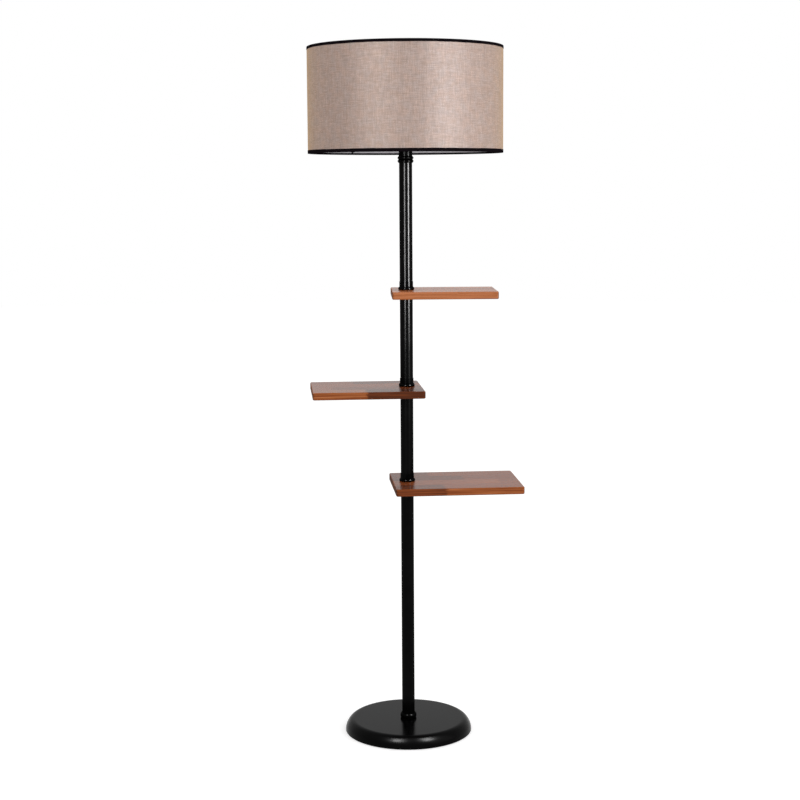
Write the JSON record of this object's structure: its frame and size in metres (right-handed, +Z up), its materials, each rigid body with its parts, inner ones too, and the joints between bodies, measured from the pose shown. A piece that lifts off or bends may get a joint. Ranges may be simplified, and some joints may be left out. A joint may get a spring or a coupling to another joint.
{
  "type": "shelf floor lamp",
  "caption": "Floor lamp with a round weighted base, a slim pole carrying turning wooden shelves, and a linen drum shade hung on a screw lampholder.",
  "frame": {"origin": "on the floor, on the pole's axis, at the middle of the base's felt underside", "axes": "+Z up the pole, +X along the long way of the shelves towards the far end of the bottom shelf, +Y to the back, where the cord inlet is"},
  "size_m": [0.4862, 0.4474, 1.6063],
  "materials": {
    "black_cover": "satin black enamel",
    "cement": "cast, rough",
    "felt": "black felt",
    "black_tube": "gloss black enamel",
    "zinc_steel": "zinc plated",
    "black_bushing": "moulded",
    "white_moulding": "moulded",
    "brass": "plain",
    "black_lead": "sheathed lead",
    "board_veneer": "satin lacquered walnut tone",
    "black_holder": "moulded thermoset",
    "white_ceramic": "unglazed",
    "bulb_metal": "plain",
    "bulb_black": "seal",
    "bulb_white": "moulded",
    "opal": "opal",
    "linen": "taupe linen weave with a soft sheen",
    "white_lining": "white laminate",
    "black_tape": "black woven tape",
    "black_wire": "black coated wire"
  },
  "bodies": {
    "stand": {"base_felt": "felt", "base_weight": "cement", "base_cover": "black_cover", "cord_inlet": "black_bushing", "base_washer": "zinc_steel", "base_nut": "zinc_steel", "terminal_block": "white_moulding", "terminal_screws": "brass", "inner_lead": "black_lead", "foot_ring": "black_tube", "pole_tube_1": "black_tube", "pole_tube_2": "black_tube", "pole_tube_3": "black_tube", "pole_tube_4": "black_tube", "tube_plugs": "zinc_steel", "base_pipe": "zinc_steel", "shelf_pipes": "zinc_steel", "neck_pipe": "zinc_steel", "collar_bottom": "black_tube", "collar_middle": "black_tube", "collar_top": "black_tube", "bead_collar": "black_tube", "neck_cup": "black_tube", "holder_cap": "black_holder", "holder_skirt": "black_holder", "holder_insert": "white_ceramic", "holder_screw_shell": "brass", "holder_contact": "brass", "shade_ring_nut": "black_holder", "bulb_tip": "brass", "bulb_seal": "bulb_black", "bulb_cap": "bulb_metal", "bulb_housing": "bulb_white", "bulb_globe": "opal"},
    "bottom_board": {"shelf_bottom": "board_veneer"},
    "middle_board": {"shelf_middle": "board_veneer"},
    "top_board": {"shelf_top": "board_veneer"},
    "shade": {"shade_fabric": "linen", "shade_lining": "white_lining", "bottom_trim": "black_tape", "top_trim": "black_tape", "bottom_ring_wire": "black_wire", "top_ring_wire": "black_wire", "shade_spider": "black_wire"}
  },
  "joints": [
    {"name": "bottom_shelf_turn", "type": "hinge", "parent": "stand", "child": "bottom_board", "pos_m": [0, 0, 0.5965], "axis": [0, 0, 1], "continuous": true},
    {"name": "middle_shelf_turn", "type": "hinge", "parent": "stand", "child": "middle_board", "pos_m": [0, 0, 0.8215], "axis": [0, 0, 1], "continuous": true},
    {"name": "top_shelf_turn", "type": "hinge", "parent": "stand", "child": "top_board", "pos_m": [0, 0, 1.0465], "axis": [0, 0, 1], "continuous": true},
    {"name": "shade_turn", "type": "hinge", "parent": "stand", "child": "shade", "pos_m": [0, 0, 1.4083], "axis": [0, 0, 1], "continuous": true}
  ]
}
